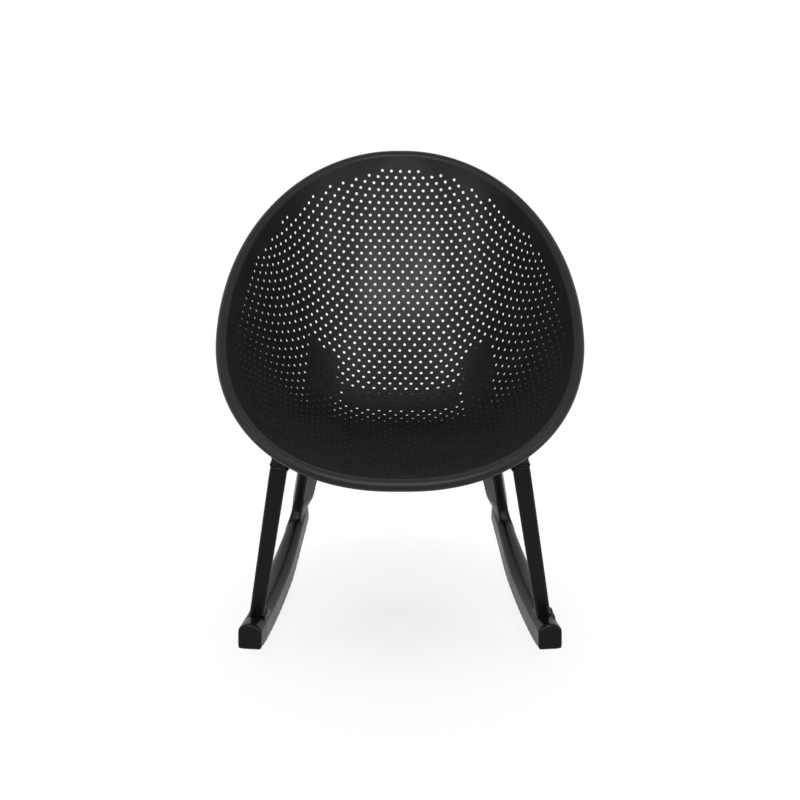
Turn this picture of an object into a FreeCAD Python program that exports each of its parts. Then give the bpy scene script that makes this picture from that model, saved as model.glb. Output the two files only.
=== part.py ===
import FreeCAD, Part

import math
import os

import Sketcher
from FreeCAD import Vector

# A rocking chair in moulded plastic: a perforated bucket shell with a rolled lip, carried by two side
# frames. Each side frame is a rocker that turns up into the rear leg, with a front leg plugged into it.
# Two cross rails tie the side frames together under the shell.
# Frame: X to the sitter's left and right, +Y to the back, +Z up, origin on the floor under the
# middle of the chair's own box. Millimetres and degrees.

os.makedirs("parts", exist_ok=True)
doc = FreeCAD.newDocument("rocking_chair")

DRIVING_SIZES = {
    # Rim of the shell, an egg in a plane that rises to the back
    "rim_length": 843,
    "rim_width": 669,
    "rim_front_reach": 364,
    "rim_tilt": 30.3,
    "rim_front_roundness": 2.25,
    "rim_back_roundness": 2.05,
    "rim_front_height": 406,
    "rim_front_y": -369.2,
    # Bowl under the rim plane
    "bowl_depth": 278.5,
    "seat_lift": 22,
    "seat_lift_place": 0.26,
    "seat_lift_spread": 0.12,
    "bowl_wall_roundness": 2.8,
    "shell_wall": 4,
    "lip_radius": 11,
    "lip_turn": 150,
    "drain_radius": 4,
    # Rockers
    "track_half": 242.4,
    "contact_y": 32.5,
    "toe_angle": 5.3,
    "rocker_radius": 1300,
    "rocker_width": 44,
    "rocker_height": 48,
    "rocker_crown": 12,
    "rocker_front_arc": 331.5,
    "rocker_rear_arc": 228.5,
    "core_width": 20,
    "core_roof": 14,
    "core_front_arc": 219.5,
    "core_rear_arc": 115.5,
    # Soles let into the underside of the rockers
    "sole_width": 30,
    "sole_seat_depth": 2.5,
    "sole_proud": 1.5,
    "sole_end_gap": 8,
    # Rear legs, one moulding with the rockers
    "rear_leg_root_y": 192,
    "rear_leg_top_y": 119.5,
    "rear_leg_root_depth": 51,
    "rear_leg_top_depth": 60,
    "rear_leg_front_width": 23,
    "rear_leg_back_flare": 7,
    "rear_leg_root_width": 44,
    "rear_leg_top_width": 60,
    "rear_leg_splay": 11.3,
    "rear_leg_root_flare": 44,
    "rear_leg_foot_inset": 1,
    "rear_leg_root_height": 60,
    "rear_flange_length": 60,
    "rear_flange_width": 58,
    "rear_flange_setback": 0,
    "rear_boss_drop": 22,
    # Front legs, plugged into collars on the rockers
    "front_leg_y": -255.5,
    "front_leg_inset": 2.5,
    "front_leg_base_width": 28,
    "front_leg_base_depth": 34,
    "front_leg_top_width": 32,
    "front_leg_top_depth": 38,
    "front_leg_back_narrowing": 8,
    "front_leg_splay": 10,
    "front_flange_length": 84,
    "front_flange_width": 34,
    "front_flange_setback": 0,
    "front_boss_drop": 15,
    "collar_height": 77,
    "collar_rim": 3,
    "collar_flare": 16,
    "plug_length": 30,
    "plug_inset": 5,
    "plug_clearance": 0.3,
    # What the legs, rails and shell bosses share
    "leg_edge_radius": 7,
    "flange_thickness": 8,
    "flange_corner_radius": 6,
    "bolt_edge_distance": 10,
    "rear_bolt_spacing": 32,
    "front_bolt_spacing": 22,
    "bolt_well_clearance": 1,
    "bolt_well_depth": 90,
    "rail_tab_thickness": 6,
    "boss_inset": 0.5,
    "boss_rim_gap": 5,
    # Cross rails
    "rear_rail_y": 148,
    "rear_rail_width": 24,
    "rear_rail_height": 33,
    "rear_rail_sag": 16,
    "front_rail_y": -178,
    "front_rail_width": 26,
    "front_rail_height": 16,
    "front_rail_sag": 46,
    "rail_end_margin": 4,
    # Fasteners
    "bolt_shank_radius": 3,
    "bolt_hole_clearance": 0.3,
    "bolt_head_radius": 6.5,
    "bolt_head_height": 3.8,
    "bolt_socket_across": 4,
    "bolt_socket_depth": 2.4,
    "washer_radius": 8,
    "washer_thickness": 1.6,
    "insert_radius": 4.2,
    "insert_length": 10,
    "insert_flange_radius": 5.2,
    "insert_flange_thickness": 0.8,
    "bolt_engagement": 9,
    "plug_screw_radius": 2.5,
    "plug_screw_head_radius": 5.5,
    "plug_screw_head_height": 3,
    "plug_washer_radius": 7,
    "plug_washer_thickness": 1.2,
    "plug_pilot_depth": 20,
    "plug_screw_reach": 18,
    "plug_screw_socket_depth": 1.6,
    "plug_screw_floor": 8,
}

sheet = doc.addObject("Spreadsheet::Sheet", "sizes")
for row, (alias, number) in enumerate(DRIVING_SIZES.items(), start=1):
    sheet.set(f"A{row}", alias.replace("_", " "))
    sheet.set(f"B{row}", str(number))
    sheet.setAlias(f"B{row}", alias)
doc.recompute()


class Size:
    """A number that remembers the sheet formula it comes from."""

    def __init__(self, value, text=None):
        self.value = float(value)
        self.text = text if text is not None else f"({value})"

    @staticmethod
    def of(other):
        return other if isinstance(other, Size) else Size(other)

    def __add__(self, other):
        other = Size.of(other)
        return Size(self.value + other.value, f"({self.text} + {other.text})")

    def __sub__(self, other):
        other = Size.of(other)
        return Size(self.value - other.value, f"({self.text} - {other.text})")

    def __mul__(self, other):
        other = Size.of(other)
        return Size(self.value * other.value, f"({self.text} * {other.text})")

    def __truediv__(self, other):
        other = Size.of(other)
        return Size(self.value / other.value, f"({self.text} / {other.text})")

    def __radd__(self, other):
        return Size.of(other) + self

    def __rsub__(self, other):
        return Size.of(other) - self

    def __rmul__(self, other):
        return Size.of(other) * self

    def __rtruediv__(self, other):
        return Size.of(other) / self

    def __neg__(self):
        return Size(-self.value, f"(-1 * {self.text})")


def sheet_size(alias):
    return Size(getattr(sheet, alias), f"{sheet.Name}.{alias}")


def sine(angle):
    return Size(math.sin(math.radians(angle.value)), f"sin({angle.text} * 1 deg)")


def cosine(angle):
    return Size(math.cos(math.radians(angle.value)), f"cos({angle.text} * 1 deg)")


def tangent(angle):
    return Size(math.tan(math.radians(angle.value)), f"tan({angle.text} * 1 deg)")


def root(size):
    return Size(math.sqrt(size.value), f"sqrt({size.text})")


def arc_angle(length, radius):
    """Angle in degrees that an arc of this length turns."""
    return length / radius * (180 / math.pi)


S = {alias: sheet_size(alias) for alias in DRIVING_SIZES}

# Sides of the chair: the sign of X, and the hand that mirrors the left side's own frame
SIDES = {"left": -1, "right": 1}


def to_chair(side_sign, along_x, along_y):
    """Chair coordinates of a point given in a side frame, whose +x points to the chair's middle."""
    turn_sine = sine(S["toe_angle"])
    turn_cosine = cosine(S["toe_angle"])
    inward = along_x * turn_cosine + along_y * turn_sine
    x = (S["track_half"] - inward) * side_sign
    y = S["contact_y"] - along_x * turn_sine + along_y * turn_cosine
    return x, y


# Sketch and feature helpers


def bind(thing, prop, size):
    """Set a property and tie it to the sheet."""
    thing.setExpression(prop, Size.of(size).text)


def origin_plane(body, role):
    return next(plane for plane in body.Origin.OriginFeatures if plane.Role == role)


def new_body(name):
    body = doc.addObject("PartDesign::Body", name)
    body.Label = name
    return body


def new_sketch(body, name, role, lift=None, shift_y=None):
    """Sketch on an origin plane of its own body, lifted along the normal or shifted in the plane."""
    sketch = body.newObject("Sketcher::SketchObject", name)
    sketch.AttachmentSupport = [(origin_plane(body, role), "")]
    sketch.MapMode = "FlatFace"
    if lift is not None:
        bind(sketch, "AttachmentOffset.Base.z", lift)
    if shift_y is not None:
        bind(sketch, "AttachmentOffset.Base.y", shift_y)
    return sketch


def pin(sketch, geometry, point, x, y):
    """Hold one point of the sketch at a place given by the sheet."""
    for kind, size in (("DistanceX", Size.of(x)), ("DistanceY", Size.of(y))):
        index = sketch.addConstraint(Sketcher.Constraint(kind, -1, 1, geometry, point, size.value))
        bind(sketch, f"Constraints[{index}]", size)


def outward_arc(start, end, radius):
    """Arc from one point to the next, anticlockwise, with its middle on the left of the chord."""
    chord = end - start
    half = chord.Length / 2
    rise = math.sqrt(max(radius * radius - half * half, 0))
    centre = start + chord / 2 + Vector(-chord.y, chord.x, 0).normalize() * rise
    first = math.atan2(start.y - centre.y, start.x - centre.x)
    last = math.atan2(end.y - centre.y, end.x - centre.x)
    if last < first:
        last += 2 * math.pi
    return Part.ArcOfCircle(Part.Circle(centre, Vector(0, 0, 1), radius), first, last)


def add_polygon(sketch, corners):
    """Closed outline whose corners are pinned; a corner with a third entry starts an arc of that radius."""
    points = [Vector(Size.of(corner[0]).value, Size.of(corner[1]).value, 0) for corner in corners]
    count = len(points)
    area = sum(points[n].x * points[(n + 1) % count].y - points[(n + 1) % count].x * points[n].y for n in range(count))
    first = sketch.GeometryCount
    # Which end of each piece of geometry is its outline's start: arcs always run anticlockwise
    starts = []
    for number, corner in enumerate(corners):
        start, end = points[number], points[(number + 1) % count]
        if len(corner) < 3:
            sketch.addGeometry(Part.LineSegment(start, end), False)
            starts.append(1)
        elif area > 0:
            sketch.addGeometry(outward_arc(start, end, corner[2].value), False)
            starts.append(1)
        else:
            sketch.addGeometry(outward_arc(end, start, corner[2].value), False)
            starts.append(2)
    for number in range(count):
        following = (number + 1) % count
        sketch.addConstraint(
            Sketcher.Constraint(
                "Coincident", first + number, 3 - starts[number], first + following, starts[following]
            )
        )
    for number, corner in enumerate(corners):
        pin(sketch, first + number, starts[number], corner[0], corner[1])
        if len(corner) == 3:
            index = sketch.addConstraint(Sketcher.Constraint("Radius", first + number, corner[2].value))
            bind(sketch, f"Constraints[{index}]", corner[2])


def add_circle(sketch, x, y, radius):
    """Circle whose centre and radius come from the sheet."""
    x, y, radius = Size.of(x), Size.of(y), Size.of(radius)
    centre = Vector(x.value, y.value, 0)
    number = sketch.addGeometry(Part.Circle(centre, Vector(0, 0, 1), radius.value), False)
    pin(sketch, number, 3, x, y)
    index = sketch.addConstraint(Sketcher.Constraint("Radius", number, radius.value))
    bind(sketch, f"Constraints[{index}]", radius)


def box_corners(x_low, x_high, y_low, y_high):
    return [(x_low, y_low), (x_high, y_low), (x_high, y_high), (x_low, y_high)]


def rounded_box(x_low, x_high, y_low, y_high, radius):
    return [
        (x_low + radius, y_low),
        (x_high - radius, y_low, radius),
        (x_high, y_low + radius),
        (x_high, y_high - radius, radius),
        (x_high - radius, y_high),
        (x_low + radius, y_high, radius),
        (x_low, y_high - radius),
        (x_low, y_low + radius, radius),
    ]


def pad(body, name, sketch, length):
    feature = body.newObject("PartDesign::Pad", name)
    feature.Profile = sketch
    bind(feature, "Length", length)
    body.Tip = feature
    return feature


def pocket(body, name, sketch, length, upward=False):
    """Cut to a depth: down from the sketch, or up from it."""
    before = body_volume(body)
    feature = body.newObject("PartDesign::Pocket", name)
    feature.Profile = sketch
    feature.Reversed = upward
    bind(feature, "Length", length)
    body.Tip = feature
    doc.recompute()
    if feature.Shape.Volume >= before:
        raise RuntimeError(f"{name} cuts nothing")
    return feature


def body_volume(body):
    doc.recompute()
    return body.Shape.Volume


def loft(body, name, sketches):
    feature = body.newObject("PartDesign::AdditiveLoft", name)
    feature.Profile = sketches[0]
    feature.Sections = sketches[1:]
    feature.Ruled = True
    body.Tip = feature
    return feature


def turn(body, kind, name, sketch, ahead, behind=None):
    """Revolve about the sketch's own horizontal axis, through one angle on each side of it."""
    feature = body.newObject(kind, name)
    feature.Profile = sketch
    feature.ReferenceAxis = (sketch, ["H_Axis"])
    if behind is None:
        feature.Midplane = True
        bind(feature, "Angle", ahead * 2)
    else:
        feature.Type = "TwoAngles"
        bind(feature, "Angle", ahead)
        bind(feature, "Angle2", behind)
    body.Tip = feature
    return feature


def place_on_side(body, side_sign):
    """Stand a side frame's piece on its own side of the chair, turned by the toe angle."""
    body.Placement = FreeCAD.Placement(Vector(), FreeCAD.Rotation(Vector(0, 0, 1), 1))
    bind(body, "Placement.Base.x", S["track_half"] * side_sign)
    bind(body, "Placement.Base.y", S["contact_y"])
    bind(body, "Placement.Rotation.Angle", S["toe_angle"] * side_sign)


# Side frames: heights shared by the legs, rails and shell bosses

# Underside of the shell's bosses, hung from the front of the rim
BOSS_HEIGHTS = {end: S["rim_front_height"] - S[f"{end}_boss_drop"] for end in ("front", "rear")}
rear_flange_top = BOSS_HEIGHTS["rear"] - S["rail_tab_thickness"]
front_flange_top = BOSS_HEIGHTS["front"] - S["rail_tab_thickness"]
rear_leg_shift = tangent(S["rear_leg_splay"]) * (rear_flange_top - S["rear_leg_root_height"])
front_leg_shift = tangent(S["front_leg_splay"]) * (front_flange_top - S["collar_height"])


def flange_box(end, inset=0):
    """Low x, high x, low y and high y of the bolting flange at the top of a leg.

    The flange starts at the leg's outer and front faces. The rear one reaches inward, with its bolts in
    wells in the leg, and the front one reaches back, with its bolts behind the leg.
    """
    if end == "rear":
        outer = rear_leg_shift - S["rear_leg_front_width"] / 2 - S["rear_leg_back_flare"]
        front = S["rear_leg_top_y"] - S["rear_leg_top_depth"] / 2 + S["rear_flange_setback"]
    else:
        outer = S["front_leg_inset"] + front_leg_shift - S["front_leg_top_width"] / 2
        front = S["front_leg_y"] - S["front_leg_top_depth"] / 2 + S["front_flange_setback"]
    inner = outer + S[f"{end}_flange_width"]
    back = front + S[f"{end}_flange_length"]
    return outer + inset, inner - inset, front + inset, back - inset


def bolt_places(end):
    """Side frame coordinates of the two bolts at the top of a leg."""
    outer, inner, front, back = flange_box(end)
    if end == "rear":
        x = inner - S["bolt_edge_distance"]
        middle = (front + back) / 2
    else:
        x = (outer + inner) / 2
        middle = back - S["bolt_edge_distance"] - S["front_bolt_spacing"] / 2
    half_spacing = S[f"{end}_bolt_spacing"] / 2
    return [(x, middle - half_spacing), (x, middle + half_spacing)]


def mirrored(corners, hand):
    """Corners of the left side, mirrored for the right one."""
    return [(Size.of(x) * hand, *rest) for x, *rest in corners]


def leg_section(front_width, outer_flare, inner_flare, x, y_front, y_back):
    """Leg section with rounded edges whose sides spread, or draw in, from the front to the back."""
    front = front_width / 2
    outer = front + outer_flare
    inner = front + inner_flare
    cut = S["leg_edge_radius"]
    return [
        (x - front + cut, y_front),
        (x + front - cut, y_front, cut),
        (x + front, y_front + cut),
        (x + inner, y_back - cut, cut),
        (x + inner - cut, y_back),
        (x - outer + cut, y_back, cut),
        (x - outer, y_back - cut),
        (x - front, y_front + cut, cut),
    ]


def make_flange(body, end, hand):
    """Bolting flange at the top of a leg, with its two bolt holes."""
    top = rear_flange_top if end == "rear" else front_flange_top
    plate = new_sketch(body, f"{body.Name}_{end}_flange_outline", "XY_Plane", lift=top - S["flange_thickness"])
    add_polygon(plate, mirrored(rounded_box(*flange_box(end), S["flange_corner_radius"]), hand))
    pad(body, f"{body.Name}_{end}_flange", plate, S["flange_thickness"])
    holes = new_sketch(body, f"{body.Name}_{end}_flange_hole_outline", "XY_Plane", lift=top)
    for x, y in bolt_places(end):
        add_circle(holes, x * hand, y, S["bolt_shank_radius"] + S["bolt_hole_clearance"])
    pocket(body, f"{body.Name}_{end}_flange_holes", holes, S["flange_thickness"] * 2)


def plug_box(inset):
    """Section of the plug under a front leg, or of its socket when the inset is smaller."""
    half_width = S["front_leg_base_width"] / 2 - inset
    half_depth = S["front_leg_base_depth"] / 2 - inset
    x, y = S["front_leg_inset"], S["front_leg_y"]
    return x - half_width, x + half_width, y - half_depth, y + half_depth


def make_rocker(side, side_sign):
    """Rocker bar with its crowned top, the front leg's collar and the rear leg in one moulding."""
    hand = -side_sign
    body = new_body(f"{side}_rocker")
    half = S["rocker_width"] / 2
    underside = S["rocker_radius"] - S["sole_proud"]
    shoulder = underside - S["rocker_height"] + S["rocker_crown"]
    crest = underside - S["rocker_height"]
    crown_radius = (half * half + S["rocker_crown"] * S["rocker_crown"]) / (S["rocker_crown"] * 2)

    section = new_sketch(body, f"{body.Name}_section", "XZ_Plane", shift_y=S["rocker_radius"])
    add_polygon(
        section, [(-half, -underside), (half, -underside), (half, -shoulder, crown_radius), (-half, -shoulder)]
    )
    rear_angle = arc_angle(S["rocker_rear_arc"], S["rocker_radius"])
    front_angle = arc_angle(S["rocker_front_arc"], S["rocker_radius"])
    turn(body, "PartDesign::Revolution", f"{body.Name}_bar", section, rear_angle, front_angle)

    root_front = S["rear_leg_root_y"] - S["rear_leg_root_depth"] / 2
    root_back = S["rear_leg_root_y"] + S["rear_leg_root_depth"] / 2
    top_front = S["rear_leg_top_y"] - S["rear_leg_top_depth"] / 2
    top_back = S["rear_leg_top_y"] + S["rear_leg_top_depth"] / 2
    climb = rear_flange_top - S["rear_leg_root_height"]
    front_face = S["rear_leg_front_width"] / 2
    # At its foot the leg is as wide as the bar it stands on, but for a small step in
    foot_half = half - S["rear_leg_foot_inset"]
    leg_sections = []
    # Share of the flare that is left at each height, and that height over the rocker's crown
    for number, (flare_share, height_share) in enumerate(((1, -0.45), (0.45, 0), (0.15, 0.35), (0, 0.9), (0, None))):
        if height_share is None:
            height = rear_flange_top
            travel = Size(1)
        else:
            height = S["rear_leg_root_height"] + S["rear_leg_root_flare"] * height_share
            travel = S["rear_leg_root_flare"] * height_share / climb
        centre = rear_leg_shift * travel
        front = root_front + (top_front - root_front) * travel - S["rear_leg_root_flare"] * flare_share
        back = root_back + (top_back - root_back) * travel
        outline = new_sketch(body, f"{body.Name}_leg_section_{number}", "XY_Plane", lift=height)
        back_width = S["rear_leg_root_width"] + (S["rear_leg_top_width"] - S["rear_leg_root_width"]) * travel
        outer_back = front_face + S["rear_leg_back_flare"]
        front_half, outer_half, inner_half = (
            size + (foot_half - size) * flare_share for size in (front_face, outer_back, back_width - outer_back)
        )
        corners = leg_section(front_half * 2, outer_half - front_half, inner_half - front_half, centre, front, back)
        add_polygon(outline, mirrored(corners, hand))
        leg_sections.append(outline)
    loft(body, f"{body.Name}_rear_leg", leg_sections)

    collar_inset = -S["collar_rim"]
    collar_low = new_sketch(body, f"{body.Name}_collar_foot", "XY_Plane", lift=S["collar_height"] - S["collar_flare"])
    x_low, x_high, y_low, y_high = plug_box(collar_inset)
    corner = S["leg_edge_radius"]
    add_polygon(
        collar_low, rounded_box(x_low, x_high, y_low - S["collar_flare"], y_high + S["collar_flare"], corner)
    )
    collar_top = new_sketch(body, f"{body.Name}_collar_top", "XY_Plane", lift=S["collar_height"])
    add_polygon(collar_top, rounded_box(x_low, x_high, y_low, y_high, corner))
    loft(body, f"{body.Name}_collar", [collar_low, collar_top])

    make_flange(body, "rear", hand)
    wells = new_sketch(body, f"{body.Name}_bolt_well_outline", "XY_Plane", lift=rear_flange_top - S["flange_thickness"])
    for x, y in bolt_places("rear"):
        add_circle(wells, x * hand, y, S["washer_radius"] + S["bolt_well_clearance"])
    pocket(body, f"{body.Name}_bolt_wells", wells, S["bolt_well_depth"])

    socket = new_sketch(body, f"{body.Name}_socket_outline", "XY_Plane", lift=S["collar_height"])
    add_polygon(socket, box_corners(*plug_box(S["plug_inset"] - S["plug_clearance"])))
    pocket(body, f"{body.Name}_socket", socket, S["plug_length"] + S["plug_clearance"])

    groove = new_sketch(body, f"{body.Name}_sole_seat_section", "XZ_Plane", shift_y=S["rocker_radius"])
    seat_half = S["sole_width"] / 2
    add_polygon(
        groove,
        box_corners(-seat_half, seat_half, -S["rocker_radius"], S["sole_seat_depth"] - underside),
    )
    gap_angle = arc_angle(S["sole_end_gap"], S["rocker_radius"])
    turn(
        body, "PartDesign::Groove", f"{body.Name}_sole_seat", groove, rear_angle - gap_angle, front_angle - gap_angle
    )

    core = new_sketch(body, f"{body.Name}_core_section", "XZ_Plane", shift_y=S["rocker_radius"])
    core_half = S["core_width"] / 2
    add_polygon(core, box_corners(-core_half, core_half, -S["rocker_radius"], -(crest + S["core_roof"])))
    turn(
        body,
        "PartDesign::Groove",
        f"{body.Name}_core",
        core,
        arc_angle(S["core_rear_arc"], S["rocker_radius"]),
        arc_angle(S["core_front_arc"], S["rocker_radius"]),
    )

    screw_x = S["front_leg_inset"] * hand
    screw_hole = new_sketch(body, f"{body.Name}_screw_hole_outline", "XY_Plane")
    add_circle(screw_hole, screw_x, S["front_leg_y"], S["plug_screw_radius"] + S["bolt_hole_clearance"])
    pocket(body, f"{body.Name}_screw_hole", screw_hole, S["collar_height"], upward=True)
    head_hole = new_sketch(body, f"{body.Name}_screw_head_outline", "XY_Plane")
    add_circle(head_hole, screw_x, S["front_leg_y"], S["plug_washer_radius"] + S["bolt_hole_clearance"])
    socket_floor = S["collar_height"] - S["plug_length"] - S["plug_clearance"]
    pocket(body, f"{body.Name}_screw_head_seat", head_hole, socket_floor - S["plug_screw_floor"], upward=True)
    place_on_side(body, side_sign)
    return body


def make_front_leg(side, side_sign):
    """Front leg with its plug, its taper and its bolting flange."""
    hand = -side_sign
    body = new_body(f"{side}_front_leg")
    base = S["collar_height"]
    plug = new_sketch(body, f"{body.Name}_plug_outline", "XY_Plane", lift=base - S["plug_length"])
    add_polygon(plug, box_corners(*plug_box(S["plug_inset"])))
    pad(body, f"{body.Name}_plug", plug, S["plug_length"])

    sections = []
    for name, height, width, depth, centre in (
        ("base", base, S["front_leg_base_width"], S["front_leg_base_depth"], S["front_leg_inset"]),
        (
            "top",
            front_flange_top,
            S["front_leg_top_width"],
            S["front_leg_top_depth"],
            S["front_leg_inset"] + front_leg_shift,
        ),
    ):
        outline = new_sketch(body, f"{body.Name}_{name}_section", "XY_Plane", lift=height)
        narrowing = S["front_leg_back_narrowing"] / -2
        corners = leg_section(
            width,
            narrowing,
            narrowing,
            centre,
            S["front_leg_y"] - depth / 2,
            S["front_leg_y"] + depth / 2,
        )
        add_polygon(outline, mirrored(corners, hand))
        sections.append(outline)
    loft(body, f"{body.Name}_post", sections)
    make_flange(body, "front", hand)

    pilot = new_sketch(body, f"{body.Name}_pilot_outline", "XY_Plane", lift=base - S["plug_length"])
    add_circle(pilot, S["front_leg_inset"] * hand, S["front_leg_y"], S["plug_screw_radius"])
    pocket(body, f"{body.Name}_pilot", pilot, S["plug_pilot_depth"], upward=True)
    place_on_side(body, side_sign)
    return body


def make_sole(side, side_sign):
    """Soft strip that the rocker runs on, let into its underside."""
    body = new_body(f"{side}_rocker_sole")
    half = S["sole_width"] / 2 - S["plug_clearance"]
    section = new_sketch(body, f"{body.Name}_section", "XZ_Plane", shift_y=S["rocker_radius"])
    top = S["rocker_radius"] - S["sole_proud"] - S["sole_seat_depth"]
    add_polygon(section, box_corners(-half, half, -S["rocker_radius"], -top))
    gap_angle = arc_angle(S["sole_end_gap"] + S["plug_clearance"], S["rocker_radius"])
    turn(
        body,
        "PartDesign::Revolution",
        f"{body.Name}_strip",
        section,
        arc_angle(S["rocker_rear_arc"], S["rocker_radius"]) - gap_angle,
        arc_angle(S["rocker_front_arc"], S["rocker_radius"]) - gap_angle,
    )
    place_on_side(body, side_sign)
    return body


def make_rail(end):
    """Bowed cross rail whose end tabs lie between the leg flanges and the shell's bosses."""
    body = new_body(f"{end}_cross_rail")
    boss_height = BOSS_HEIGHTS[end]
    sag = S[f"{end}_rail_sag"]
    height = S[f"{end}_rail_height"]
    half_width = S[f"{end}_rail_width"] / 2
    middle_y = S[f"{end}_rail_y"]
    x_low, x_high, y_low, y_high = flange_box(end)
    inner_x, _ = to_chair(1, x_high, y_high)
    reach = inner_x - S["rail_end_margin"]
    # Radius of the arc whose ends lie one sag above its middle
    radius = (reach * reach + sag * sag) / (sag * 2)
    bow = new_sketch(body, f"{body.Name}_bow_section", "YZ_Plane", shift_y=boss_height - sag + radius)
    add_polygon(
        bow,
        box_corners(middle_y - half_width, middle_y + half_width, -(radius + height), -radius),
    )
    half_turn = Size(
        math.degrees(math.asin(reach.value / (radius.value + height.value))),
        f"(asin({reach.text} / {(radius + height).text}) / 1 deg)",
    )
    turn(body, "PartDesign::Revolution", f"{body.Name}_bow", bow, half_turn)
    for side, side_sign in SIDES.items():
        tab = new_sketch(
            body, f"{body.Name}_{side}_tab_outline", "XY_Plane", lift=boss_height - S["rail_tab_thickness"]
        )
        neck_low = middle_y - half_width
        neck_high = middle_y + half_width
        outline = [to_chair(side_sign, *corner) for corner in box_corners(x_low, x_high, y_low, y_high)]
        neck_x = (reach - S["rail_end_margin"] * 2) * side_sign
        outline = [outline[0], outline[1], (neck_x, neck_low), (neck_x, neck_high), outline[2], outline[3]]
        add_polygon(tab, outline)
        pad(body, f"{body.Name}_{side}_tab", tab, S["rail_tab_thickness"])
        holes = new_sketch(body, f"{body.Name}_{side}_hole_outline", "XY_Plane", lift=boss_height)
        for x, y in bolt_places(end):
            hole_x, hole_y = to_chair(side_sign, x, y)
            add_circle(holes, hole_x, hole_y, S["bolt_shank_radius"] + S["bolt_hole_clearance"])
        pocket(body, f"{body.Name}_{side}_holes", holes, S["rail_tab_thickness"] * 2)
    return body


# Shell


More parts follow.
